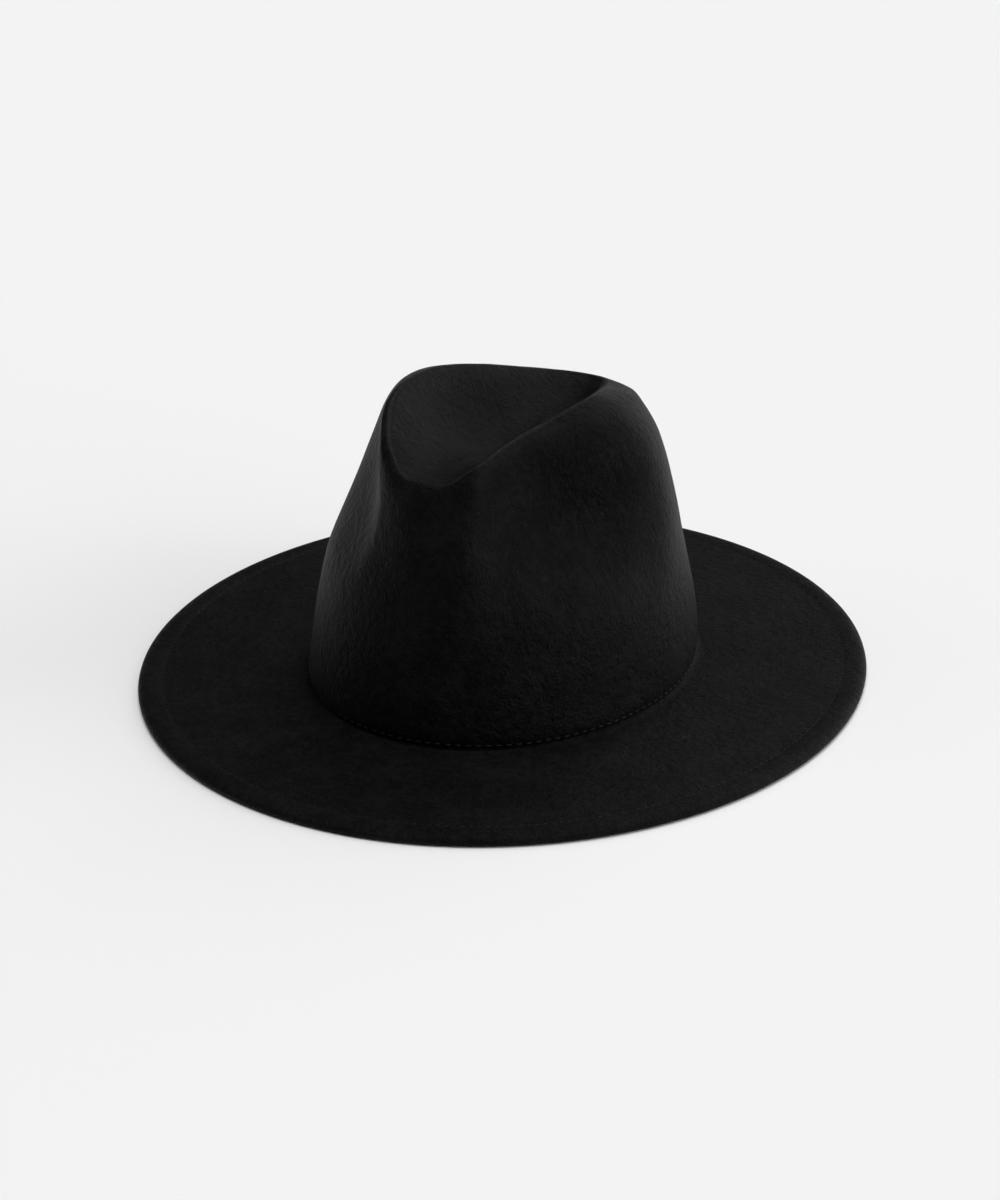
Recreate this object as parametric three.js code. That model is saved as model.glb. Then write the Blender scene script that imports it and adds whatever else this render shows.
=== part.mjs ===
// Wide-brim fedora of black felt: crown and brim are one piece, the brim's edge is turned under,
// and a sweatband is sewn inside the crown's foot.
// Millimetres. +Z is up, -Y is the front of the hat, and +X is the wearer's left.
// The hat rests on its turned-under edge at Z = 0.
import * as THREE from 'three';

// Felt
const feltThickness = 2.3;

// Brim
const brimHalfLength = 179.5;
const brimHalfWidth = 166.2;
const hemWidth = 11;
const brimClimb = 0.8;

// Crown
const footHalfLength = 101.3;
const footHalfWidth = 86.7;
const footRound = 1.6;
const footTuck = 1.2;
const footTuckHeight = 4;
const crownHeight = 136;
const rimHalfLength = 75.5;
const rimHalfWidth = 39.5;
const rimSetBack = 4.5;
const ridgeInnerRadius = 1.3;
const topDentDepth = 34;
const keelHalfLength = 36;
const keelSetBack = 3;
const pinchDepth = 13;

// Sweatband
const bandThickness = 1.2;
const bandHeight = 32;
const bandLift = 1;
const bandClearance = 0.4;

// Meridians run from the hem over the rim to the keel of the top dent, closer together at the front.
const meridianCount = 76;
const frontCrowding = 0.22;

// The rim, by degrees from the front, the same on both sides: half-width and height as shares of
// rimHalfWidth and crownHeight, and how far its round turns to the wall and to the dent, in degrees.
const rimTable = [
  { degrees: 0, width: 1.30, height: 0.826, turnOut: 42, turnIn: 4 },
  { degrees: 12, width: 1.30, height: 0.834, turnOut: 44, turnIn: 5 },
  { degrees: 25, width: 1.21, height: 0.886, turnOut: 50, turnIn: 26 },
  { degrees: 38, width: 1.13, height: 0.935, turnOut: 60, turnIn: 38 },
  { degrees: 55, width: 1.10, height: 0.983, turnOut: 60, turnIn: 42 },
  { degrees: 75, width: 1.06, height: 0.995, turnOut: 40, turnIn: 42 },
  { degrees: 95, width: 0.99, height: 0.979, turnOut: 24, turnIn: 40 },
  { degrees: 115, width: 0.87, height: 0.936, turnOut: 22, turnIn: 38 },
  { degrees: 138, width: 0.80, height: 0.878, turnOut: 22, turnIn: 36 },
  { degrees: 160, width: 0.82, height: 0.846, turnOut: 24, turnIn: 32 },
  { degrees: 180, width: 0.82, height: 0.836, turnOut: 26, turnIn: 28 },
];

// The pinch's pull on the rim, on the +X side: its middle in degrees from the front, how far it draws
// the rim in, how far it spreads to the front and to the back, and how far the rim drops for each
// millimetre in.
const rimPinch = { degrees: 62, depth: 10, front: 35, back: 40, drop: 0.72 };

// The wall, a row for each section: rise is the share of the way up to the rim, and the others are
// the reach there, from 0 at the rim's outline to 1 at the foot's, at each place round the crown.
const wallTable = [
  { rise: 0.000, front: 1.000, edge: 1.000, pinch: 1.000, side: 1.000, quarter: 1.000, back: 1.000 },
  { rise: 0.030, front: 1.000, edge: 1.000, pinch: 1.000, side: 1.000, quarter: 1.000, back: 1.000 },
  { rise: 0.120, front: 0.950, edge: 0.953, pinch: 0.960, side: 0.985, quarter: 0.995, back: 0.970 },
  { rise: 0.210, front: 0.882, edge: 0.889, pinch: 0.921, side: 0.955, quarter: 0.958, back: 0.930 },
  { rise: 0.300, front: 0.800, edge: 0.812, pinch: 0.875, side: 0.915, quarter: 0.905, back: 0.885 },
  { rise: 0.450, front: 0.640, edge: 0.661, pinch: 0.765, side: 0.840, quarter: 0.805, back: 0.805 },
  { rise: 0.580, front: 0.505, edge: 0.500, pinch: 0.580, side: 0.780, quarter: 0.710, back: 0.710 },
  { rise: 0.700, front: 0.405, edge: 0.350, pinch: 0.390, side: 0.705, quarter: 0.615, back: 0.600 },
  { rise: 0.800, front: 0.330, edge: 0.255, pinch: 0.240, side: 0.625, quarter: 0.530, back: 0.490 },
  { rise: 0.880, front: 0.270, edge: 0.200, pinch: 0.140, side: 0.530, quarter: 0.450, back: 0.380 },
  { rise: 0.940, front: 0.205, edge: 0.165, pinch: 0.105, side: 0.385, quarter: 0.375, back: 0.280 },
  { rise: 0.975, front: 0.145, edge: 0.125, pinch: 0.085, side: 0.235, quarter: 0.300, back: 0.200 },
];
const wallPlaces = { front: 0, edge: 26, pinch: 58, side: 98, quarter: 140, back: 180 };

// The top dent, a row for each section from the rim's round to the keel: shares of the way down and in.
const dentTable = [
  { down: 0.220, inward: 0.15 },
  { down: 0.470, inward: 0.29 },
  { down: 0.710, inward: 0.45 },
  { down: 0.900, inward: 0.65 },
  { down: 0.985, inward: 0.85 },
];

// The keel's lift above the dent's lowest point, as a share of topDentDepth.
const keelTable = [
  { degrees: 0, lift: 0.270 },
  { degrees: 30, lift: 0.235 },
  { degrees: 60, lift: 0.120 },
  { degrees: 90, lift: 0.000 },
  { degrees: 120, lift: 0.045 },
  { degrees: 150, lift: 0.115 },
  { degrees: 180, lift: 0.130 },
];

// Folds pressed into the wall, a row for each: its middle in degrees from the front, on the +X side
// where positive, and in rise, its depth as a share of pinchDepth, how far it spreads to the front
// and to the back in degrees, and up and down in rise, and how crisp its front edge is, from 0 for
// soft to 1 for a lip.
const foldTable = [
  { degrees: 62, rise: 0.74, depth: 0.70, front: 40, back: 38, up: 0.50, down: 0.30, lip: 1 },
  { degrees: 84, rise: 0.62, depth: 0.26, front: 26, back: 20, up: 0.40, down: 0.34, lip: 0 },
  { degrees: -48, rise: 0.76, depth: 0.42, front: 26, back: 32, up: 0.50, down: 0.36, lip: 1 },
];
const foldFade = 0.34;
const lipRound = 0.14;
const lipFade = 0.6;
const smallestShare = 1e-6;

// Sizes that follow
const ridgeRadius = feltThickness + ridgeInnerRadius;
const hemTop = 2 * feltThickness;
const footTop = hemTop + brimClimb;

// Smooth step from 0 to 1.
function ease(x) {
  const t = THREE.MathUtils.clamp(x, 0, 1);
  return t * t * t * (t * (6 * t - 15) + 10);
}

// Smooth curve through the points (xs, ys), read at x.
function curveThrough(xs, ys, x) {
  const last = xs.length - 1;
  const slope = (i) => (ys[i + 1] - ys[i]) / (xs[i + 1] - xs[i]);
  const tangent = (i) => {
    if (i === 0) return slope(0);
    if (i === last) return slope(last - 1);
    const before = xs[i] - xs[i - 1];
    const after = xs[i + 1] - xs[i];
    return (after * slope(i - 1) + before * slope(i)) / (before + after);
  };
  let i = 0;
  while (i < last - 1 && x >= xs[i + 1]) i += 1;
  const width = xs[i + 1] - xs[i];
  const t = (x - xs[i]) / width;
  const t2 = t * t;
  const t3 = t2 * t;
  return (2 * t3 - 3 * t2 + 1) * ys[i] + (t3 - 2 * t2 + t) * width * tangent(i)
    + (3 * t2 - 2 * t3) * ys[i + 1] + (t3 - t2) * width * tangent(i + 1);
}

// A table's value at an angle from the front, the same on both sides, level at the front and the back.
function around(angle, degrees, values) {
  const fromFront = THREE.MathUtils.radToDeg(Math.acos(Math.cos(angle)));
  const last = degrees.length - 1;
  const xs = [-degrees[1], ...degrees, 360 - degrees[last - 1]];
  const ys = [values[1], ...values, values[last - 1]];
  return curveThrough(xs, ys, fromFront);
}

const columnOf = (table, name) => table.map((row) => row[name]);
const rimValue = (angle, name) => around(angle, columnOf(rimTable, 'degrees'), columnOf(rimTable, name));
const keelLift = (angle) => around(angle, columnOf(keelTable, 'degrees'), columnOf(keelTable, 'lift'));
const wallRises = columnOf(wallTable, 'rise');

// Share of the way from the rim's outline to the foot's.
function wallReach(angle, rise) {
  const places = Object.keys(wallPlaces);
  const reaches = places.map((place) => curveThrough(wallRises, columnOf(wallTable, place), rise));
  return around(angle, Object.values(wallPlaces), reaches);
}

// Level direction out of the crown.
function outward(angle) {
  return new THREE.Vector3(Math.sin(angle) / rimHalfWidth, -Math.cos(angle) / rimHalfLength, 0).normalize();
}

// Degrees from the front, from -180 to 180, positive on the +X side.
function signedDegrees(angle) {
  return THREE.MathUtils.radToDeg(Math.atan2(Math.sin(angle), Math.cos(angle)));
}

// Depth of a hollow at a share of the way from its middle to its edge: soft all the way out.
function softHollow(share) {
  return 1 - ease(share);
}

// The same for a hollow whose edge is a lip with a small round.
function lippedHollow(share) {
  const bowl = 1 - share * share;
  const rounded = (bowl + Math.hypot(bowl, lipRound)) / (1 + Math.hypot(1, lipRound));
  return rounded * (1 - ease((share - 1) / lipFade));
}

// How far the pinch draws the rim in.
function rimDraw(angle) {
  const degrees = signedDegrees(angle);
  if (degrees < 0) return 0;
  const past = degrees - rimPinch.degrees;
  const share = past < 0 ? lippedHollow(-past / rimPinch.front) : softHollow(past / rimPinch.back);
  return rimPinch.depth * share;
}

// Highest line of the rim.
function rimPoint(angle) {
  const draw = rimDraw(angle);
  const point = new THREE.Vector3(
    rimHalfWidth * rimValue(angle, 'width') * Math.sin(angle),
    rimSetBack - rimHalfLength * Math.cos(angle),
    footTop + crownHeight * rimValue(angle, 'height') - rimPinch.drop * draw,
  );
  return point.addScaledVector(outward(angle), -draw);
}

// Where the crown's wall starts on the top of the brim.
function footPoint(angle) {
  return new THREE.Vector3(footHalfWidth * Math.sin(angle), -footHalfLength * Math.cos(angle), footTop);
}

// How deep the folds lie at a place on the wall.
function foldDepth(angle, rise) {
  const degrees = signedDegrees(angle);
  let share = 0;
  for (const fold of foldTable) {
    if (degrees * fold.degrees < 0) continue;
    const past = Math.abs(degrees) - Math.abs(fold.degrees);
    const across = past < 0 ? past / fold.front : past / fold.back;
    const above = rise - fold.rise;
    const along = above > 0 ? above / fold.up : above / fold.down;
    const out = Math.max(Math.hypot(across, along), smallestShare);
    const lip = fold.lip * (0.5 - (0.5 * across) / out);
    share += fold.depth * THREE.MathUtils.lerp(softHollow(out), lippedHollow(out), lip);
  }
  return pinchDepth * share * (1 - ease((rise - 1 + foldFade) / foldFade));
}

// Outside of the wall, tucked in a little at its foot.
function wallPoint(angle, rise) {
  const rim = rimPoint(angle);
  const point = rim.clone().lerp(footPoint(angle), wallReach(angle, rise));
  point.z = THREE.MathUtils.lerp(footTop, rim.z, rise);
  const tuck = footTuck * (1 - ease((point.z - footTop) / footTuckHeight));
  return point.addScaledVector(outward(angle), -foldDepth(angle, rise) - tuck);
}

// Round of the rim, from share -1 on the wall's side to 1 on the dent's side.
function ridgePoint(angle, share) {
  const side = share < 0 ? 'turnOut' : 'turnIn';
  const turn = -share * THREE.MathUtils.degToRad(rimValue(angle, side));
  const point = rimPoint(angle).addScaledVector(outward(angle), ridgeRadius * Math.sin(turn));
  point.z -= ridgeRadius * (1 - Math.cos(turn));
  return point;
}

// Upper side of the top dent, from the rim's round to the keel.
function dentPoint(angle, down, inward) {
  const top = ridgePoint(angle, 1);
  const keel = new THREE.Vector3(
    0,
    keelSetBack - keelHalfLength * Math.cos(angle),
    footTop + crownHeight - topDentDepth * (1 - keelLift(angle)),
  );
  const point = top.clone().lerp(keel, inward);
  point.z = THREE.MathUtils.lerp(top.z, keel.z, down);
  return point;
}

// A place at a level distance in from the brim's outline.
function hemPoint(angle, distance, height) {
  return new THREE.Vector3(
    (brimHalfWidth - distance) * Math.sin(angle),
    -(brimHalfLength - distance) * Math.cos(angle),
    height,
  );
}

// Top of the brim, from share 0 at the crown's foot to 1 at the hem's inner line.
function brimPoint(angle, share) {
  const inner = footPoint(angle).addScaledVector(outward(angle), footRound);
  return inner.lerp(hemPoint(angle, hemWidth, hemTop), share);
}

const angles = Array.from({ length: meridianCount }, (_, i) => {
  const even = (2 * Math.PI * i) / meridianCount;
  return even - frontCrowding * Math.sin(even);
});
const ring = (pointAt) => angles.map(pointAt);

// A sheet of rings moved in along its normals, which come from each point's neighbours.
function offsetInward(rings, distance) {
  return rings.map((points, k) => points.map((point, i) => {
    const count = points.length;
    const level = points[(i + 1) % count].clone().sub(points[(i + count - 1) % count]);
    const above = rings[Math.min(k + 1, rings.length - 1)][i];
    const below = rings[Math.max(k - 1, 0)][i];
    const normal = level.cross(above.clone().sub(below)).normalize();
    return point.clone().addScaledVector(normal, -distance);
  }));
}

// The level keel of a dent has each point twice in its ring, once from either side.
function keelIndex(indices) {
  return indices.map((index, i) => (i > indices.length / 2 ? indices[indices.length - i] : index));
}

// Closed geometry from rings of points. The first and last ring are keels, or are joined in a loop.
function geometryFromRings(rings, endsInKeels) {
  const positions = [];
  let indices = rings.map((points) => points.map((point) => positions.push(...point.toArray()) / 3 - 1));
  if (endsInKeels) {
    const last = indices.length - 1;
    indices = indices.map((row, k) => (k === 0 || k === last ? keelIndex(row) : row));
  } else {
    indices.push(indices[0]);
  }
  const faces = [];
  const addFace = (a, b, c) => {
    if (a !== b && b !== c && c !== a) faces.push(a, b, c);
  };
  for (let k = 0; k + 1 < indices.length; k += 1) {
    const lower = indices[k];
    const upper = indices[k + 1];
    for (let i = 0; i < lower.length; i += 1) {
      const next = (i + 1) % lower.length;
      addFace(lower[i], lower[next], upper[next]);
      addFace(lower[i], upper[next], upper[i]);
    }
  }
  const geometry = new THREE.BufferGeometry();
  geometry.setAttribute('position', new THREE.Float32BufferAttribute(positions, 3));
  geometry.setIndex(faces);
  return geometry;
}

// Crown and brim: from the underside of the dent's keel down the inside and out under the brim,
// round the hem, and back over the outside to the upper side of the keel.
function makeFeltBody() {
  const keel = ring((angle) => dentPoint(angle, 1, 1));
  const outside = [
    ...[1, 0.65, 0.3, 0].map((share) => ring((angle) => brimPoint(angle, share))),
    ...wallRises.map((rise) => ring((angle) => wallPoint(angle, rise))),
    ...[-1, -0.5, 0, 0.5, 1].map((share) => ring((angle) => ridgePoint(angle, share))),
    ...dentTable.map((row) => ring((angle) => dentPoint(angle, row.down, row.inward))),
    keel,
  ];
  const underKeel = keel.map((point) => point.clone().setZ(point.z - feltThickness));
  const inside = offsetInward(outside, feltThickness).slice(1, -1).reverse();
  const hem = [
    ring((angle) => hemPoint(angle, hemWidth, hemTop - feltThickness)),
    ring((angle) => hemPoint(angle, hemWidth, 0)),
    ...[-90, -45, 0, 45, 90].map((degrees) => {
      const turn = THREE.MathUtils.degToRad(degrees);
      const distance = feltThickness * (1 - Math.cos(turn));
      return ring((angle) => hemPoint(angle, distance, feltThickness * (1 + Math.sin(turn))));
    }),
  ];
  return geometryFromRings([underKeel, ...inside, ...hem, ...outside], true);
}

// The sweatband follows the inside of the wall, a clearance away from it.
function makeSweatband() {
  const heights = [0, 0.1, 0.4, 0.7, 1].map((share) => footTop + bandLift + bandHeight * share);
  const wall = heights.map((height) => ring((angle) => {
    const rise = (height - footTop) / (rimPoint(angle).z - footTop);
    return wallPoint(angle, rise);
  }));
  const outside = offsetInward(wall, feltThickness + bandClearance);
  const inside = offsetInward(wall, feltThickness + bandClearance + bandThickness).reverse();
  return geometryFromRings([...outside, ...inside], false);
}

function namedMesh(name, geometry, material) {
  const mesh = new THREE.Mesh(geometry, material);
  mesh.name = name;
  return mesh;
}

const felt = new THREE.MeshStandardMaterial({ color: 0x17171a, roughness: 0.95, metalness: 0 });
const bandCloth = new THREE.MeshStandardMaterial({ color: 0x1b1a19, roughness: 0.8, metalness: 0 });

const hat = new THREE.Group();
hat.add(namedMesh('felt_body', makeFeltBody(), felt));
hat.add(namedMesh('sweatband', makeSweatband(), bandCloth));

export default hat;
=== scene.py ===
"""Wide-brim fedora of black felt, resting on its turned-under edge on a pale floor.

Metres. +Z is up, -Y is the front of the hat and +X is the wearer's left.
"""

import math

import bpy
import numpy as np
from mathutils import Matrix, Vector, noise


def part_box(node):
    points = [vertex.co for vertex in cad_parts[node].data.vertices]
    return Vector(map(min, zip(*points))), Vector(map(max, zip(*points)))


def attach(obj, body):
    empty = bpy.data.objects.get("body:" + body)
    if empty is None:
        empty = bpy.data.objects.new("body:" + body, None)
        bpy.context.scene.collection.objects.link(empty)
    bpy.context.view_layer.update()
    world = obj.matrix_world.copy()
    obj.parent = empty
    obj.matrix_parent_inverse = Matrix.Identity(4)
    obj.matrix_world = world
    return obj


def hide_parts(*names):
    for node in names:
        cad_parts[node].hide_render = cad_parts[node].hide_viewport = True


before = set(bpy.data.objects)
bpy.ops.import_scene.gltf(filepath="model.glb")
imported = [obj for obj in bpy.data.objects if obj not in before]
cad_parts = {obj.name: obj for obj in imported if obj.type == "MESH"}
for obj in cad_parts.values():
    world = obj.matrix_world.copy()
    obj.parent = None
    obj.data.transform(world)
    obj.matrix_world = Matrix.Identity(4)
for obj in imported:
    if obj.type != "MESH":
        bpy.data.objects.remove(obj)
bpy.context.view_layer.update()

MM = 0.001

# Camera: the photograph's frame in pixels, where the frame's origin lies in it, and the scale there.
PHOTO_SIZE = (1000, 1200)
ORIGIN_PIXEL = (504.9, 665.4)
PIXELS_PER_METRE = 2134
CAMERA_DISTANCE = 1.5
CAMERA_AZIMUTH = 30
CAMERA_ELEVATION = 25.8
SENSOR_WIDTH = 36

# Felt
FELT_THICKNESS = 2.3 * MM

# Brim
BRIM_HALF_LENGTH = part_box("felt_body")[1].y
BRIM_HALF_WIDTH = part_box("felt_body")[1].x
HEM_WIDTH = 11 * MM
HEM_ROUND = 5 * MM
HEM_PUFF = 0.25 * MM
HEM_STEP_ROUND = 0.5 * MM
BRIM_CLIMB = 0.8 * MM

# Crown
FOOT_HALF_LENGTH = 101.3 * MM
FOOT_HALF_WIDTH = 86.7 * MM
FOOT_ROUND = 1.6 * MM
FOOT_TUCK = 1.2 * MM
FOOT_TUCK_HEIGHT = 4 * MM
CROWN_HEIGHT = 136 * MM
RIM_HALF_LENGTH = 75.5 * MM
RIM_HALF_WIDTH = 39.5 * MM
RIM_SET_BACK = 4.5 * MM
RIDGE_INNER_RADIUS = 1.3 * MM
TOP_DENT_DEPTH = 34 * MM
KEEL_HALF_LENGTH = 36 * MM
KEEL_SET_BACK = 3 * MM
PINCH_DEPTH = 13 * MM

# Sweatband: it stands a clearance and a slack away from the felt, which is uneven.
BAND_THICKNESS = 1.2 * MM
BAND_HEIGHT = 32 * MM
BAND_LIFT = 1 * MM
BAND_CLEARANCE = 0.4 * MM
BAND_SLACK = 0.2 * MM
BAND_EDGE_ROUND = 0.55 * MM
BAND_RIB_PITCH = 1.1 * MM
BAND_RIB_HEIGHT = 0.5

# Stitches: thread radius, stitch length and pitch, and how far a stitch's middle stands proud. Its ends
# are thinner, and dip under the felt by a share of the radius.
FOOT_STITCH = {"radius": 0.28 * MM, "length": 3.1 * MM, "pitch": 4.5 * MM, "proud": 0.20 * MM}
BRIM_STITCH = {"radius": 0.20 * MM, "length": 2.3 * MM, "pitch": 3.5 * MM, "proud": 0.02 * MM}
STITCH_DIP = 1.4
STITCH_THINNING = 0.35
STITCH_GROOVE_DEPTH = 0.15 * MM
FOOT_STITCH_HEIGHT = 2.0 * MM

# Fine unevenness of the felt, which fades in over some rings from the hem's groove
WAVE_DEPTH = 0.45 * MM
WAVE_LENGTH = 55 * MM
DIMPLE_DEPTH = 0.12 * MM
DIMPLE_LENGTH = 14 * MM
DIMPLE_SHIFT = Vector((7, 3, 5))
CALM_RINGS = 6

# Tangle among the fibres: its scale as a share of the fibres' own, and how bent it is.
TANGLE_SCALE = 0.45
TANGLE_BEND = 2.2

# Floor
FLOOR_HALF_SIZE = 12
FLOOR_TONE = 0.95

# Mesh fineness
MERIDIANS = 400
RINGS_PER_ROW = 4
BAND_RINGS = 9
STITCH_SIDES = 6
STITCH_STEPS = 6

# The rim, by degrees from the front, the same on both sides: half-width and height as shares of
# RIM_HALF_WIDTH and CROWN_HEIGHT, and how far its round turns to the wall and to the dent, in degrees.
RIM_COLUMNS = ("degrees", "width", "height", "turn_out", "turn_in")
RIM_TABLE = (
    (0, 1.30, 0.826, 42, 4),
    (12, 1.30, 0.834, 44, 5),
    (25, 1.21, 0.886, 50, 26),
    (38, 1.13, 0.935, 60, 38),
    (55, 1.10, 0.983, 60, 42),
    (75, 1.06, 0.995, 40, 42),
    (95, 0.99, 0.979, 24, 40),
    (115, 0.87, 0.936, 22, 38),
    (138, 0.80, 0.878, 22, 36),
    (160, 0.82, 0.846, 24, 32),
    (180, 0.82, 0.836, 26, 28),
)

# The pinch's pull on the rim, on the +X side: its middle in degrees from the front, how far it draws
# the rim in, how far it spreads to the front and to the back, and how far the rim drops for each
# millimetre in.
RIM_PINCH = {"degrees": 62, "depth": 10 * MM, "front": 35, "back": 40, "drop": 0.72}

# The wall, a row for each section: rise is the share of the way up to the rim, and the others are
# the reach there, from 0 at the rim's outline to 1 at the foot's, at each place round the crown.
WALL_PLACES = (0, 26, 58, 98, 140, 180)
WALL_COLUMNS = ("rise", "front", "edge", "pinch", "side", "quarter", "back")
WALL_TABLE = (
    (0.000, 1.000, 1.000, 1.000, 1.000, 1.000, 1.000),
    (0.030, 1.000, 1.000, 1.000, 1.000, 1.000, 1.000),
    (0.120, 0.950, 0.953, 0.960, 0.985, 0.995, 0.970),
    (0.210, 0.882, 0.889, 0.921, 0.955, 0.958, 0.930),
    (0.300, 0.800, 0.812, 0.875, 0.915, 0.905, 0.885),
    (0.450, 0.640, 0.661, 0.765, 0.840, 0.805, 0.805),
    (0.580, 0.505, 0.500, 0.580, 0.780, 0.710, 0.710),
    (0.700, 0.405, 0.350, 0.390, 0.705, 0.615, 0.600),
    (0.800, 0.330, 0.255, 0.240, 0.625, 0.530, 0.490),
    (0.880, 0.270, 0.200, 0.140, 0.530, 0.450, 0.380),
    (0.940, 0.205, 0.165, 0.105, 0.385, 0.375, 0.280),
    (0.975, 0.145, 0.125, 0.085, 0.235, 0.300, 0.200),
)

# The top dent, from the rim's round to the keel: shares of the way down and in.
DENT_COLUMNS = ("down", "inward")
DENT_TABLE = (
    (0.220, 0.15),
    (0.470, 0.29),
    (0.710, 0.45),
    (0.900, 0.65),
    (0.985, 0.85),
)

# The keel's lift above the dent's lowest point, as a share of TOP_DENT_DEPTH.
KEEL_COLUMNS = ("degrees", "lift")
KEEL_TABLE = (
    (0, 0.270),
    (30, 0.235),
    (60, 0.120),
    (90, 0.000),
    (120, 0.045),
    (150, 0.115),
    (180, 0.130),
)

# Folds pressed into the wall: middle in degrees from the front, on the +X side where positive, and in
# rise, depth as a share of PINCH_DEPTH, spread to the front and back in degrees, up and down in rise,
# and how crisp the front edge is, from 0 for soft to 1 for a lip.
FOLD_COLUMNS = ("degrees", "rise", "depth", "front", "back", "up", "down", "lip")
FOLD_TABLE = (
    (62, 0.74, 0.70, 40, 38, 0.50, 0.30, 1),
    (84, 0.62, 0.26, 26, 20, 0.40, 0.34, 0),
    (-48, 0.76, 0.42, 26, 32, 0.50, 0.36, 1),
)
FOLD_FADE = 0.34
LIP_ROUND = 0.14
LIP_FADE = 0.6

# Least values that keep a division safe
SMALLEST_SHARE = 1e-6
SMALLEST_LENGTH = 1e-9
SMALLEST_AREA = 1e-12

# Places across the rim's round, from the wall's side to the dent's side
RIDGE_SHARES = (-1, -0.5, 0, 0.5, 1)

# Underside of the turned-under edge, and its top from the round in to the stitch groove: shares of
# HEM_WIDTH in from the outline, and heights over HEM_TOP as shares of HEM_PUFF. The round has a ring
# each so many degrees.
HEM_UNDER_SHARES = (0.7, 0.45)
HEM_TOP_ROWS = ((0.62, 1.0), (0.74, 0.9), (0.85, 0.55), (0.93, 0.0))
HEM_ROUND_STEP = 18

# Top of the brim from the groove in to the crown's foot: shares of the way out.
BRIM_SHARES = (0.97, 0.92, 0.84, 0.74, 0.63, 0.52, 0.41, 0.30, 0.20, 0.12, 0.06, 0.02)

# Painted highlight along the rim's ridge, lightening the felt's colour: its half-width in rings, how far
# from the front it starts in degrees, and how much lighter it is.
RIDGE_HIGHLIGHT_RINGS = 2.4
RIDGE_HIGHLIGHT_START = 20
RIDGE_HIGHLIGHT_TONE = 12

# Lighter streak on the brim: its middle, half its size along each axis, how many degrees it is turned from
# the
# X axis, and how much lighter it is.
BRIM_STREAK = {"middle": (0.0824, 0.0803, 0.005), "half_size": (0.014, 0.0022, 0.01), "turn": 79}
BRIM_STREAK_TONE = 3

# Lights: degrees to the camera's right, degrees up, and strength, all with the same spread.
LIGHT_SPREAD = 45
LIGHTS = (
    ("light_top", 0, 85, 1.75),
    ("light_right", 90, 12, 1.25),
    ("light_right_back", 135, 12, 0.55),
    ("light_left", 270, 45, 0.3),
    ("light_back", 160, 45, 0.5),
    ("light_right_front", 55, 20, 0.75),
)

# Sizes that follow
RIDGE_RADIUS = FELT_THICKNESS + RIDGE_INNER_RADIUS
HEM_TOP = 2 * FELT_THICKNESS
FOOT_TOP = HEM_TOP + BRIM_CLIMB


def column(table, columns, name):
    """One column of a table as an array."""
    return np.array([row[columns.index(name)] for row in table], float)


def ease(x):
    """Smooth step from 0 to 1."""
    t = np.clip(x, 0, 1)
    return t**3 * (t * (6 * t - 15) + 10)


def curve_through(xs, ys, x):
    """Smooth curve through the points (xs, ys), read at x."""
    widths = np.diff(xs)
    slopes = np.diff(ys) / widths
    inner = (widths[1:] * slopes[:-1] + widths[:-1] * slopes[1:]) / (widths[1:] + widths[:-1])
    tangents = np.concatenate([slopes[:1], inner, slopes[-1:]])
    i = np.clip(np.searchsorted(xs, x, side="right") - 1, 0, len(xs) - 2)
    t = (x - xs[i]) / widths[i]
    start = (2 * t**3 - 3 * t**2 + 1) * ys[i] + (t**3 - 2 * t**2 + t) * widths[i] * tangents[i]
    end = (3 * t**2 - 2 * t**3) * ys[i + 1] + (t**3 - t**2) * widths[i] * tangents[i + 1]
    return start + end


def around(angles, degrees, values):
    """A table's values at angles from the front, the same on both sides, level at front and back."""
    from_front = np.degrees(np.arccos(np.clip(np.cos(angles), -1, 1)))
    xs = np.concatenate([[-degrees[1]], degrees, [360 - degrees[-2]]])
    ys = np.concatenate([[values[1]], values, [values[-2]]])
    return curve_through(xs, ys, from_front)


def rim_value(angles, name):
    """A column of the rim's table at angles from the front."""
    degrees = column(RIM_TABLE, RIM_COLUMNS, "degrees")
    return around(angles, degrees, column(RIM_TABLE, RIM_COLUMNS, name))


def wall_reach(angles, rise):
    """Share of the way from the rim's outline to the foot's."""
    rises = column(WALL_TABLE, WALL_COLUMNS, "rise")
    reaches = [
        curve_through(rises, column(WALL_TABLE, WALL_COLUMNS, name), np.array(rise))
        for name in WALL_COLUMNS[1:]
    ]
    return around(angles, np.array(WALL_PLACES, float), np.array(reaches))


def outline(angles, half_width, half_length, height, set_back=0):
    """Points on an oval, or on a line like one where its sizes change with the angle."""
    return np.stack([
        half_width * np.sin(angles),
        set_back - half_length * np.cos(angles),
        np.broadcast_to(height, angles.shape),
    ], axis=-1)


def outward(angles):
    """Level directions out of the crown."""
    level = np.stack([
        np.sin(angles) / RIM_HALF_WIDTH,
        -np.cos(angles) / RIM_HALF_LENGTH,
        np.zeros_like(angles),
    ], axis=-1)
    return level / np.linalg.norm(level, axis=-1, keepdims=True)


def signed_degrees(angles):
    """Degrees from the front, from -180 to 180, positive on the +X side."""
    return np.degrees(np.arctan2(np.sin(angles), np.cos(angles)))


def soft_hollow(share):
    """Depth of a hollow at a share of the way from its middle to its edge: soft all the way out."""
    return 1 - ease(share)


def lipped_hollow(share):
    """The same for a hollow whose edge is a lip with a small round."""
    bowl = 1 - share**2
    rounded = (bowl + np.hypot(bowl, LIP_ROUND)) / (1 + math.hypot(1, LIP_ROUND))
    return rounded * (1 - ease((share - 1) / LIP_FADE))


def rim_draw(angles):
    """How far the pinch draws the rim in."""
    degrees = signed_degrees(angles)
    past = degrees - RIM_PINCH["degrees"]
    to_front = lipped_hollow(-past / RIM_PINCH["front"])
    to_back = soft_hollow(past / RIM_PINCH["back"])
    return RIM_PINCH["depth"] * np.where(degrees < 0, 0, np.where(past < 0, to_front, to_back))


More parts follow.
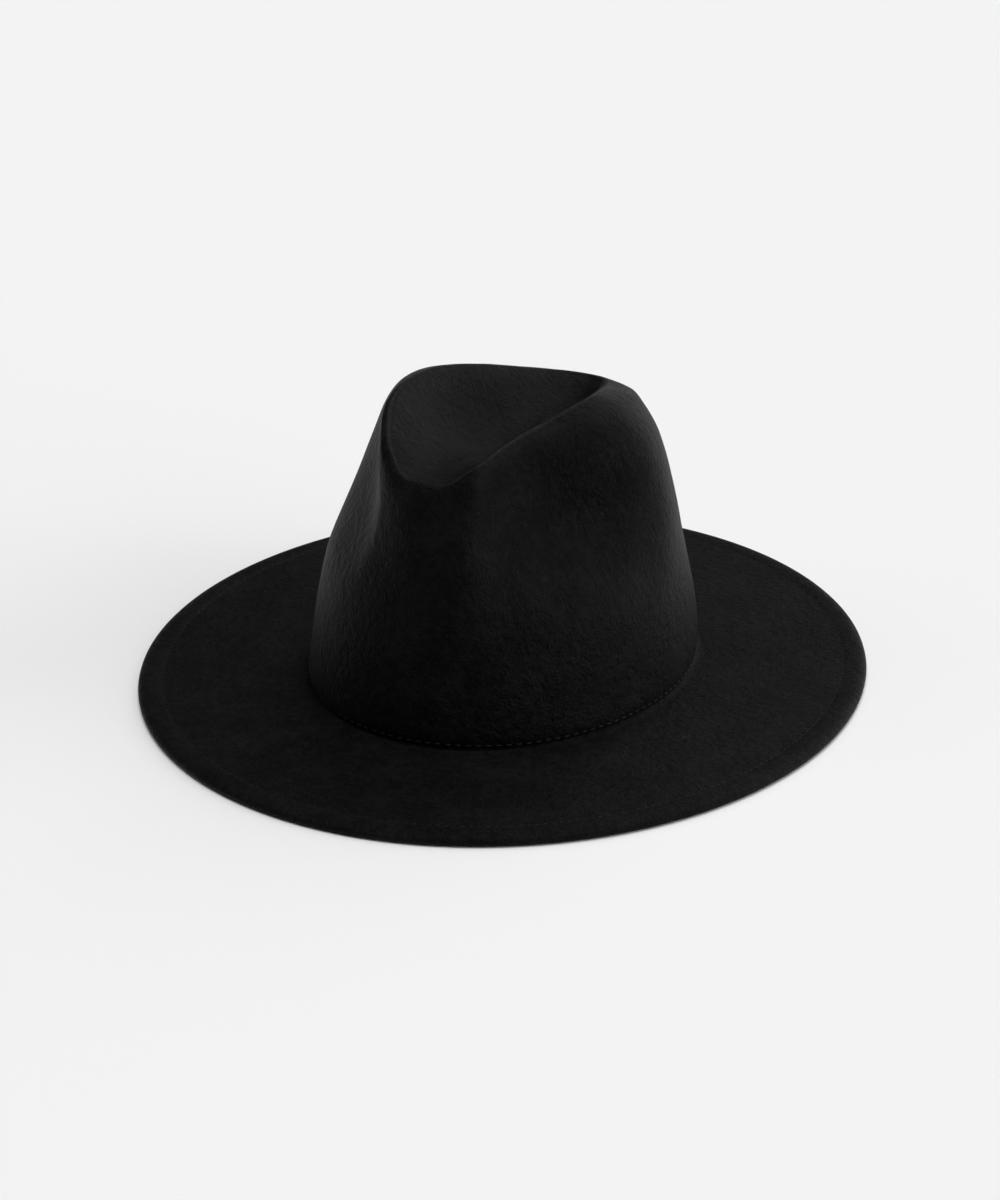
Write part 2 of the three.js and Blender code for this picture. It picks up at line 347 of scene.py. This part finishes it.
def rim_line(angles):
    """Highest line of the rim."""
    draw = rim_draw(angles)
    width = RIM_HALF_WIDTH * rim_value(angles, "width")
    height = FOOT_TOP + CROWN_HEIGHT * rim_value(angles, "height") - RIM_PINCH["drop"] * draw
    line = outline(angles, width, RIM_HALF_LENGTH, height, RIM_SET_BACK)
    return line - outward(angles) * draw[:, None]


def fold_depth(angles, rise):
    """How deep the folds lie at places on the wall."""
    degrees = signed_degrees(angles)
    share = np.zeros_like(degrees)
    for row in FOLD_TABLE:
        fold = dict(zip(FOLD_COLUMNS, row))
        past = np.abs(degrees) - abs(fold["degrees"])
        across = np.where(past < 0, past / fold["front"], past / fold["back"])
        above = rise - fold["rise"]
        along = above / fold["up"] if above > 0 else above / fold["down"]
        out = np.maximum(np.hypot(across, along), SMALLEST_SHARE)
        lip = fold["lip"] * (0.5 - 0.5 * across / out)
        hollow = (1 - lip) * soft_hollow(out) + lip * lipped_hollow(out)
        share += np.where(degrees * fold["degrees"] < 0, 0, fold["depth"] * hollow)
    return PINCH_DEPTH * share * (1 - ease((rise - 1 + FOLD_FADE) / FOLD_FADE))


def wall_line(angles, rise):
    """Outside of the wall at a share of the way up, tucked in a little at its foot."""
    rim = rim_line(angles)
    foot = outline(angles, FOOT_HALF_WIDTH, FOOT_HALF_LENGTH, FOOT_TOP)
    line = rim + (foot - rim) * wall_reach(angles, rise)[:, None]
    line[:, 2] = FOOT_TOP + (rim[:, 2] - FOOT_TOP) * rise
    tuck = FOOT_TUCK * (1 - ease((line[:, 2] - FOOT_TOP) / FOOT_TUCK_HEIGHT))
    return line - outward(angles) * (fold_depth(angles, rise) + tuck)[:, None]


def ridge_line(angles, share):
    """Round of the rim, from share -1 on the wall's side to 1 on the dent's side."""
    side = "turn_out" if share < 0 else "turn_in"
    turn = -share * np.radians(rim_value(angles, side))
    line = rim_line(angles) + outward(angles) * (RIDGE_RADIUS * np.sin(turn))[:, None]
    line[:, 2] -= RIDGE_RADIUS * (1 - np.cos(turn))
    return line


def dent_line(angles, down, inward):
    """Upper side of the top dent, from the rim's round to the keel."""
    top = ridge_line(angles, 1)
    degrees = column(KEEL_TABLE, KEEL_COLUMNS, "degrees")
    lift = around(angles, degrees, column(KEEL_TABLE, KEEL_COLUMNS, "lift"))
    height = FOOT_TOP + CROWN_HEIGHT - TOP_DENT_DEPTH * (1 - lift)
    keel = outline(angles, 0, KEEL_HALF_LENGTH, height, KEEL_SET_BACK)
    line = top + (keel - top) * inward
    line[:, 2] = top[:, 2] + (keel[:, 2] - top[:, 2]) * down
    return line


def hem_line(angles, distance, height):
    """A line at a level distance in from the brim's outline."""
    return outline(angles, BRIM_HALF_WIDTH - distance, BRIM_HALF_LENGTH - distance, height)


def brim_line(angles, share):
    """Top of the brim, from share 0 at the crown's foot to 1 at the hem's inner line."""
    foot = outline(angles, FOOT_HALF_WIDTH, FOOT_HALF_LENGTH, FOOT_TOP)
    inner = foot + outward(angles) * FOOT_ROUND
    return inner + (hem_line(angles, HEM_WIDTH, HEM_TOP) - inner) * share


def smooth_rings(rows, rings_per_row):
    """Rings between the rows, on smooth curves along each meridian."""
    spans = np.linalg.norm(np.diff(rows, axis=0), axis=2)
    spans = np.sqrt(np.maximum(spans, SMALLEST_LENGTH))
    slopes = np.diff(rows, axis=0) / spans[..., None]
    before = spans[:-1, :, None]
    after = spans[1:, :, None]
    inner = (after * slopes[:-1] + before * slopes[1:]) / (before + after)
    tangents = np.concatenate([slopes[:1], inner, slopes[-1:]])
    rings = []
    for i in range(len(rows) - 1):
        span = spans[i][:, None]
        for t in np.linspace(0, 1, rings_per_row, endpoint=False):
            start = (2 * t**3 - 3 * t**2 + 1) * rows[i] + (t**3 - 2 * t**2 + t) * span * tangents[i]
            end = (3 * t**2 - 2 * t**3) * rows[i + 1] + (t**3 - t**2) * span * tangents[i + 1]
            rings.append(start + end)
    return np.array([*rings, rows[-1]])


def ring_normals(rings):
    """Normals of a sheet of closed rings, from each point's neighbours."""
    level = np.roll(rings, -1, axis=1) - np.roll(rings, 1, axis=1)
    upward = np.gradient(rings, axis=0)
    normals = np.cross(level, upward)
    return normals / np.maximum(np.linalg.norm(normals, axis=2, keepdims=True), SMALLEST_AREA)


def crown_rings(angles):
    """Outside of the crown from just over the brim to the keel of the top dent."""
    rises = column(WALL_TABLE, WALL_COLUMNS, "rise")
    rows = [wall_line(angles, rise) for rise in rises]
    rows += [ridge_line(angles, share) for share in RIDGE_SHARES]
    rows += [dent_line(angles, down, inward) for down, inward in DENT_TABLE]
    rows.append(dent_line(angles, 1, 1))
    return smooth_rings(np.array(rows), RINGS_PER_ROW)


def brim_rings(angles):
    """Top of the brim from the hem's stitch groove in to the crown's foot."""
    return np.array([brim_line(angles, share) for share in BRIM_SHARES])


def hem_rings(angles):
    """The turned-under edge, from its inner step over its underside and its round to the groove."""
    under = [(HEM_WIDTH, FELT_THICKNESS), (HEM_WIDTH, HEM_STEP_ROUND), (HEM_WIDTH - HEM_STEP_ROUND, 0)]
    under += [(HEM_WIDTH * share, 0) for share in HEM_UNDER_SHARES]
    rings = [hem_line(angles, distance, height) for distance, height in under]
    for degrees in range(-90, 91, HEM_ROUND_STEP):
        turn = math.radians(degrees)
        reach = FELT_THICKNESS if degrees < 0 else HEM_ROUND
        rise = FELT_THICKNESS if degrees < 0 else FELT_THICKNESS + HEM_PUFF
        distance = reach * (1 - math.cos(turn))
        rings.append(hem_line(angles, distance, FELT_THICKNESS + rise * math.sin(turn)))
    for share, puff in HEM_TOP_ROWS:
        rings.append(hem_line(angles, HEM_WIDTH * share, HEM_TOP + HEM_PUFF * puff))
    rings.append(hem_line(angles, HEM_WIDTH, HEM_TOP - STITCH_GROOVE_DEPTH))
    return np.array(rings)


def unevenness(points):
    """Gentle waves and shallow dimples of a hand-finished felt, as heights along the normals."""
    heights = np.empty(points.shape[:2])
    for index in np.ndindex(heights.shape):
        place = Vector(points[index])
        wave = noise.noise(place / WAVE_LENGTH)
        dimple = noise.noise(place / DIMPLE_LENGTH + DIMPLE_SHIFT)
        heights[index] = WAVE_DEPTH * wave + DIMPLE_DEPTH * dimple
    return heights


def felt_rings(angles):
    """Outside of the felt, from the hem's groove to the keel, with its unevenness."""
    crown = crown_rings(angles)
    rings = np.concatenate([brim_rings(angles), crown])
    normals = ring_normals(rings)
    calm_edge = ease(np.arange(len(rings)) / CALM_RINGS)[:, None]
    rings = rings + normals * (unevenness(rings) * calm_edge)[..., None]
    keel = rings[-1]
    opposite = np.roll(keel[::-1], 1, axis=0)
    rings[-1] = (keel + opposite) / 2
    return rings


def mesh_object(name, vertices, faces, material):
    """A smooth-shaded object in the scene from points and faces."""
    mesh = bpy.data.meshes.new(name)
    mesh.from_pydata([tuple(v) for v in vertices], [], faces)
    mesh.validate()
    mesh.polygons.foreach_set("use_smooth", [True] * len(mesh.polygons))
    mesh.materials.append(material)
    piece = bpy.data.objects.new(name, mesh)
    bpy.context.scene.collection.objects.link(piece)
    return piece


def ring_faces(rings, closed):
    """Faces between rings of a grid, and from the last back to the first where it is closed."""
    rows, count = rings.shape[:2]
    faces = []
    for k in range(rows if closed else rows - 1):
        lower = k * count
        upper = ((k + 1) % rows) * count
        for i in range(count):
            after = (i + 1) % count
            faces.append((lower + i, lower + after, upper + after, upper + i))
    return faces


def keel_faces(pairs, faces):
    """Faces with the points of a keel, which lie twice in its ring, made into one."""
    first_of = {second: first for first, second in pairs}
    made = []
    for face in faces:
        corners = []
        for corner in (first_of.get(v, v) for v in face):
            if corner not in corners:
                corners.append(corner)
        if len(corners) > 2:
            made.append(tuple(corners))
    return made


def add_value(piece, name, values):
    """A named value at each point of a piece, for its material to read."""
    attribute = piece.data.attributes.new(name, "FLOAT", "POINT")
    attribute.data.foreach_set("value", values.ravel().astype(np.float32))


def ridge_highlight_share(angles, ring_count, outside_start):
    """How strong the painted highlight is at each point of its rings: most along the middle of the rim's
    round.
    """
    rows_below = len(WALL_TABLE) + RIDGE_SHARES.index(0)
    middle = outside_start + len(BRIM_SHARES) + rows_below * RINGS_PER_ROW
    from_middle = (np.arange(ring_count) - middle) / RIDGE_HIGHLIGHT_RINGS
    return np.exp(-from_middle**2)[:, None] * ease(np.abs(signed_degrees(angles)) / RIDGE_HIGHLIGHT_START)


def make_felt(material):
    """Crown and brim as one piece of felt: inside, hem and outside in one closed sheet."""
    angles = np.linspace(0, 2 * math.pi, MERIDIANS, endpoint=False)
    outside = felt_rings(angles)
    inside = (outside - ring_normals(outside) * FELT_THICKNESS)[::-1].copy()
    inside[0] = outside[-1] - np.array([0, 0, FELT_THICKNESS])
    rings = np.concatenate([inside, hem_rings(angles), outside])
    faces = ring_faces(rings, closed=False)
    last = (len(rings) - 1) * MERIDIANS
    pairs = [(start + i, start + MERIDIANS - i) for start in (0, last) for i in range(1, MERIDIANS // 2)]
    felt = mesh_object("felt_crown_and_brim", rings.reshape(-1, 3), keel_faces(pairs, faces), material)
    # Strength of the painted highlight along the rim's ridge, as a value at each point
    add_value(felt, "painted_ridge_highlight", ridge_highlight_share(angles, len(rings), len(rings) - len(outside)))
    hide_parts("felt_body")
    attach(felt, "root")
    return outside


def make_sweatband(material):
    """Plain band inside the crown's foot, with softly rounded edges."""
    angles = np.linspace(0, 2 * math.pi, MERIDIANS, endpoint=False)
    low = FOOT_TOP + BAND_LIFT
    heights = low + BAND_HEIGHT * np.linspace(0, 1, BAND_RINGS)
    mean_rim = rim_line(angles)[:, 2].mean()
    wall = np.array([wall_line(angles, (height - FOOT_TOP) / (mean_rim - FOOT_TOP)) for height in heights])
    wall[..., 2] = heights[:, None]
    wall += ring_normals(wall) * unevenness(wall)[..., None]
    wall[..., 2] = heights[:, None]
    normals = ring_normals(wall)
    normals[..., 2] = 0
    near = FELT_THICKNESS + BAND_CLEARANCE + BAND_SLACK
    outer = wall - normals * near
    inner = wall - normals * (near + BAND_THICKNESS)
    middle = (outer + inner) / 2
    up = np.array([0, 0, BAND_EDGE_ROUND])
    section = [outer[0] + up, *outer[1:-1], outer[-1] - up, middle[-1], inner[-1] - up]
    section += [*inner[-2:0:-1], inner[0] + up, middle[0]]
    rings = np.array(section)
    band = mesh_object("sweatband_cloth", rings.reshape(-1, 3), ring_faces(rings, closed=True), material)
    line = middle[BAND_RINGS // 2]
    steps = np.linalg.norm(np.roll(line, -1, axis=0) - line, axis=1)
    distance = np.concatenate([[0], np.cumsum(steps)[:-1]])
    add_value(band, "along", np.tile(distance, len(rings)))
    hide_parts("sweatband")
    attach(band, "root")


def even_places(line, normals, pitch):
    """Points, directions and normals at even steps round a closed line, the first at its start."""
    steps = np.linalg.norm(np.roll(line, -1, axis=0) - line, axis=1)
    reached = np.concatenate([[0], np.cumsum(steps)])
    count = round(reached[-1] / pitch)
    wanted = np.arange(count) * reached[-1] / count
    closed_line = np.concatenate([line, line[:1]])
    closed_normals = np.concatenate([normals, normals[:1]])
    points = np.stack([np.interp(wanted, reached, closed_line[:, c]) for c in range(3)], axis=1)
    facing = np.stack([np.interp(wanted, reached, closed_normals[:, c]) for c in range(3)], axis=1)
    facing /= np.linalg.norm(facing, axis=1, keepdims=True)
    directions = np.roll(points, -1, axis=0) - np.roll(points, 1, axis=0)
    directions -= facing * np.sum(directions * facing, axis=1, keepdims=True)
    directions /= np.linalg.norm(directions, axis=1, keepdims=True)
    return points, directions, facing


def make_stitches(name, line, normals, stitch, material):
    """A row of sewn stitches on a closed line: short rounds of thread that dip in at both ends."""
    points, directions, facing = even_places(line, normals, stitch["pitch"])
    across = np.cross(directions, facing)
    drop = stitch["proud"] + STITCH_DIP * stitch["radius"]
    vertices = []
    faces = []
    for point, direction, normal, side in zip(points, directions, facing, across):
        start = len(vertices)
        for step in range(STITCH_STEPS + 1):
            share = 2 * step / STITCH_STEPS - 1
            lift = stitch["proud"] - drop * abs(share) ** 3
            centre = point + direction * (stitch["length"] / 2 * share) + normal * lift
            radius = stitch["radius"] * (1 - STITCH_THINNING * share**4)
            for corner in range(STITCH_SIDES):
                turn = 2 * math.pi * corner / STITCH_SIDES
                vertices.append(centre + radius * (math.cos(turn) * normal + math.sin(turn) * side))
        for step in range(STITCH_STEPS):
            for corner in range(STITCH_SIDES):
                a = start + step * STITCH_SIDES + corner
                b = start + step * STITCH_SIDES + (corner + 1) % STITCH_SIDES
                faces.append((a, a + STITCH_SIDES, b + STITCH_SIDES, b))
        faces.append(tuple(start + corner for corner in range(STITCH_SIDES)))
        end = start + STITCH_STEPS * STITCH_SIDES
        faces.append(tuple(end + corner for corner in reversed(range(STITCH_SIDES))))
    row = mesh_object(name, vertices, faces, material)
    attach(row, "root")


def node_group(name, inputs, outputs):
    """A shader node group with its named inputs and outputs, and its two end nodes."""
    group = bpy.data.node_groups.new(name, "ShaderNodeTree")
    for label, value in inputs.items():
        socket = group.interface.new_socket(label, in_out="INPUT", socket_type="NodeSocketFloat")
        socket.default_value = value
    for label in outputs:
        group.interface.new_socket(label, in_out="OUTPUT", socket_type="NodeSocketFloat")
    return group, group.nodes.new("NodeGroupInput"), group.nodes.new("NodeGroupOutput")


def add_noise(tree, coordinates, scale, detail=2.0, roughness=0.5, bend=0.0):
    """Noise of a scale in ups and downs a metre, read at the coordinates."""
    texture = tree.nodes.new("ShaderNodeTexNoise")
    texture.inputs["Detail"].default_value = detail
    texture.inputs["Roughness"].default_value = roughness
    texture.inputs["Distortion"].default_value = bend
    tree.links.new(scale, texture.inputs["Scale"])
    tree.links.new(coordinates, texture.inputs["Vector"])
    return texture.outputs["Fac"]


def add_math(tree, operation, *values):
    """A sum on numbers and sockets."""
    node = tree.nodes.new("ShaderNodeMath")
    node.operation = operation
    for i, value in enumerate(values):
        if isinstance(value, (int, float)):
            node.inputs[i].default_value = value
        else:
            tree.links.new(value, node.inputs[i])
    return node.outputs[0]


def make_fibre_group():
    """Matted fibres: a tone that varies by fibre, clump and patch, and their height."""
    group, start, end = node_group(
        "matted fibres",
        {"Fibres per metre": 900, "Fibre contrast": 0.5, "Clumps per metre": 250, "Clump contrast": 0.3,
         "Clump height": 1, "Patches per metre": 40, "Patch contrast": 0.3},
        ("Tone", "Height"),
    )
    place = group.nodes.new("ShaderNodeTexCoord").outputs["Object"]
    fibres = add_noise(group, place, start.outputs["Fibres per metre"], detail=3, roughness=0.65)
    clumps = add_noise(group, place, start.outputs["Clumps per metre"])
    patches = add_noise(group, place, start.outputs["Patches per metre"], detail=3)
    tangle_scale = add_math(group, "MULTIPLY", start.outputs["Fibres per metre"], TANGLE_SCALE)
    tangle = add_noise(group, place, tangle_scale, bend=TANGLE_BEND)
    tone = 1
    for part, label in ((fibres, "Fibre contrast"), (clumps, "Clump contrast"), (patches, "Patch contrast")):
        varied = add_math(group, "MULTIPLY", add_math(group, "SUBTRACT", part, 0.5), start.outputs[label])
        tone = add_math(group, "ADD", varied, tone)
    group.links.new(add_math(group, "MAXIMUM", tone, 0), end.inputs["Tone"])
    clump_part = add_math(group, "MULTIPLY", clumps, start.outputs["Clump height"])
    fibre_part = add_math(group, "ADD", fibres, tangle)
    group.links.new(add_math(group, "ADD", fibre_part, clump_part), end.inputs["Height"])
    return group


def new_material(name, base, roughness, sheen, sheen_roughness, specular):
    """A cloth material with its principled shader, and its tree."""
    material = bpy.data.materials.new(name)
    material.use_nodes = True
    shader = material.node_tree.nodes["Principled BSDF"]
    shader.inputs["Base Color"].default_value = (*base, 1)
    shader.inputs["Roughness"].default_value = roughness
    shader.inputs["Sheen Weight"].default_value = sheen
    shader.inputs["Sheen Roughness"].default_value = sheen_roughness
    shader.inputs["Specular IOR Level"].default_value = specular
    return material, material.node_tree, shader


def place_fibres(tree, group, **values):
    """A fibre group in a material's tree with its own values."""
    node = tree.nodes.new("ShaderNodeGroup")
    node.node_tree = group
    for label, value in values.items():
        node.inputs[label.replace("_", " ").capitalize()].default_value = value
    return node


def tint(tree, shader, base, tone):
    """Base colour times a tone."""
    mix = tree.nodes.new("ShaderNodeMix")
    mix.data_type = "RGBA"
    mix.blend_type = "MULTIPLY"
    mix.inputs["Factor"].default_value = 1
    mix.inputs["A"].default_value = (*base, 1)
    grey = tree.nodes.new("ShaderNodeCombineColor")
    for channel in ("Red", "Green", "Blue"):
        tree.links.new(tone, grey.inputs[channel])
    tree.links.new(grey.outputs["Color"], mix.inputs["B"])
    tree.links.new(mix.outputs["Result"], shader.inputs["Base Color"])


def read_value(tree, name):
    """A named value of the piece's points."""
    node = tree.nodes.new("ShaderNodeAttribute")
    node.attribute_name = name
    return node.outputs["Fac"]


def raise_surface(tree, shader, height, distance):
    """A bump that raises the surface by the distance where the height is 1."""
    bump = tree.nodes.new("ShaderNodeBump")
    bump.inputs["Distance"].default_value = distance
    bump.inputs["Strength"].default_value = 1
    tree.links.new(height, bump.inputs["Height"])
    tree.links.new(bump.outputs["Normal"], shader.inputs["Normal"])


def add_streak(tree, streak):
    """A soft oval mask, 1 at its middle, and 0 from its edge on."""
    place = tree.nodes.new("ShaderNodeMapping")
    place.vector_type = "TEXTURE"
    place.inputs["Location"].default_value = streak["middle"]
    place.inputs["Rotation"].default_value = (0, 0, math.radians(streak["turn"]))
    place.inputs["Scale"].default_value = streak["half_size"]
    tree.links.new(tree.nodes.new("ShaderNodeTexCoord").outputs["Object"], place.inputs["Vector"])
    oval = tree.nodes.new("ShaderNodeTexGradient")
    oval.gradient_type = "SPHERICAL"
    tree.links.new(place.outputs["Vector"], oval.inputs["Vector"])
    return oval.outputs["Fac"]


def make_felt_material(fibre_group):
    """Matted black wool, with a painted highlight along the rim's ridge and a lighter streak on the brim."""
    base = (0.0012, 0.00115, 0.0012)
    material, tree, shader = new_material("black_wool_felt", base, roughness=0.50, sheen=0.026,
                                          sheen_roughness=0.30, specular=0.076)
    fibres = place_fibres(tree, fibre_group, Fibres_per_metre=850, Fibre_contrast=6.0,
                          Clumps_per_metre=260, Clump_contrast=6.0, Clump_height=1.5,
                          Patches_per_metre=60, Patch_contrast=7.0)
    # A soft lighter streak in the brim's colour
    lighter_streak = add_math(tree, "MULTIPLY", add_streak(tree, BRIM_STREAK), BRIM_STREAK_TONE)
    # Painted highlight: the felt's colour is made lighter along the rim's ridge, where light catches it
    highlight = add_math(tree, "MULTIPLY", read_value(tree, "painted_ridge_highlight"), RIDGE_HIGHLIGHT_TONE)
    streak_and_highlight = add_math(tree, "ADD", lighter_streak, highlight)
    tint(tree, shader, base, add_math(tree, "ADD", fibres.outputs["Tone"], streak_and_highlight))
    raise_surface(tree, shader, fibres.outputs["Height"], distance=0.62 * MM)
    return material


def make_band_material(fibre_group):
    """Black cloth with fine upright ribs."""
    base = (0.007, 0.0066, 0.0064)
    material, tree, shader = new_material("ribbed_band_cloth", base, roughness=0.7, sheen=0.15,
                                          sheen_roughness=0.35, specular=0.3)
    fibres = place_fibres(tree, fibre_group, Fibres_per_metre=1600, Fibre_contrast=0.8,
                          Patches_per_metre=60)
    tint(tree, shader, base, fibres.outputs["Tone"])
    turns = add_math(tree, "MULTIPLY", read_value(tree, "along"), 2 * math.pi / BAND_RIB_PITCH)
    ribs = add_math(tree, "MULTIPLY", add_math(tree, "SINE", turns), BAND_RIB_HEIGHT)
    height = add_math(tree, "ADD", ribs, fibres.outputs["Height"])
    raise_surface(tree, shader, height, distance=0.18 * MM)
    return material


def make_thread_material(fibre_group):
    """Black sewing thread."""
    base = (0.005, 0.0048, 0.0048)
    material, tree, shader = new_material("black_sewing_thread", base, roughness=0.45, sheen=0.05,
                                          sheen_roughness=0.3, specular=0.25)
    fibres = place_fibres(tree, fibre_group, Fibres_per_metre=2600, Fibre_contrast=1.0,
                          Patches_per_metre=150, Patch_contrast=0.8)
    tint(tree, shader, base, fibres.outputs["Tone"])
    raise_surface(tree, shader, fibres.outputs["Height"], distance=0.08 * MM)
    return material


def make_floor():
    """Plain pale floor that the hat stands on."""
    half = FLOOR_HALF_SIZE
    corners = [(-half, -half, 0), (half, -half, 0), (half, half, 0), (-half, half, 0)]
    material = bpy.data.materials.new("pale_floor")
    material.use_nodes = True
    shader = material.node_tree.nodes["Principled BSDF"]
    shader.inputs["Base Color"].default_value = (FLOOR_TONE, FLOOR_TONE, FLOOR_TONE, 1)
    shader.inputs["Roughness"].default_value = 1
    shader.inputs["Specular IOR Level"].default_value = 0
    floor = mesh_object("floor", corners, [(0, 1, 2, 3)], material)


def direction_to(azimuth, elevation):
    """Direction out to an azimuth from the front and an elevation, both in degrees."""
    a = math.radians(azimuth)
    e = math.radians(elevation)
    return Vector((math.sin(a) * math.cos(e), -math.cos(a) * math.cos(e), math.sin(e)))


def make_light(name, degrees_right, elevation, strength):
    """Soft light from far away, so many degrees to the camera's right and up."""
    light = bpy.data.lights.new(name, "SUN")
    light.energy = strength
    light.angle = math.radians(LIGHT_SPREAD)
    lamp = bpy.data.objects.new(name, light)
    source = direction_to(CAMERA_AZIMUTH + degrees_right, elevation)
    lamp.rotation_mode = "QUATERNION"
    lamp.rotation_quaternion = source.to_track_quat("Z", "Y")
    bpy.context.scene.collection.objects.link(lamp)


def make_studio():
    """The lights, with no other light round them."""
    for light in LIGHTS:
        make_light(*light)
    world = bpy.data.worlds.new("studio")
    world.use_nodes = True
    world.node_tree.nodes["Background"].inputs["Color"].default_value = (0, 0, 0, 1)
    bpy.context.scene.world = world
    bpy.context.scene.view_settings.view_transform = "Standard"


def make_camera():
    """Camera at the photograph's angle, aimed so that the frame's origin lands on its pixel."""
    back = direction_to(CAMERA_AZIMUTH, CAMERA_ELEVATION)
    right = direction_to(CAMERA_AZIMUTH + 90, 0)
    up = back.cross(right)
    aim = right * ((PHOTO_SIZE[0] / 2 - ORIGIN_PIXEL[0]) / PIXELS_PER_METRE)
    aim += up * ((ORIGIN_PIXEL[1] - PHOTO_SIZE[1] / 2) / PIXELS_PER_METRE)
    camera_data = bpy.data.cameras.new("camera")
    camera_data.sensor_width = SENSOR_WIDTH
    camera_data.lens = PIXELS_PER_METRE * CAMERA_DISTANCE / max(PHOTO_SIZE) * SENSOR_WIDTH
    camera = bpy.data.objects.new("camera", camera_data)
    camera.location = back * CAMERA_DISTANCE
    camera.rotation_mode = "QUATERNION"
    camera.rotation_quaternion = (aim - camera.location).to_track_quat("-Z", "Y")
    bpy.context.scene.collection.objects.link(camera)
    bpy.context.scene.camera = camera


def make_hat():
    """Felt, sweatband and the two rows of stitches."""
    fibre_group = make_fibre_group()
    felt_material = make_felt_material(fibre_group)
    thread_material = make_thread_material(fibre_group)
    outside = make_felt(felt_material)
    make_sweatband(make_band_material(fibre_group))
    normals = ring_normals(outside)
    wall_heights = outside[len(BRIM_SHARES):, :, 2].mean(axis=1)
    row = len(BRIM_SHARES) + int(np.argmax(wall_heights > FOOT_TOP + FOOT_STITCH_HEIGHT))
    make_stitches("foot_stitches", outside[row], normals[row], FOOT_STITCH, thread_material)
    angles = np.linspace(0, 2 * math.pi, MERIDIANS, endpoint=False)
    groove = hem_line(angles, HEM_WIDTH, HEM_TOP - STITCH_GROOVE_DEPTH)
    upward = np.broadcast_to(np.array([0.0, 0.0, 1.0]), groove.shape)
    make_stitches("brim_stitches", groove, upward, BRIM_STITCH, thread_material)


make_camera()
make_studio()
make_floor()
make_hat()
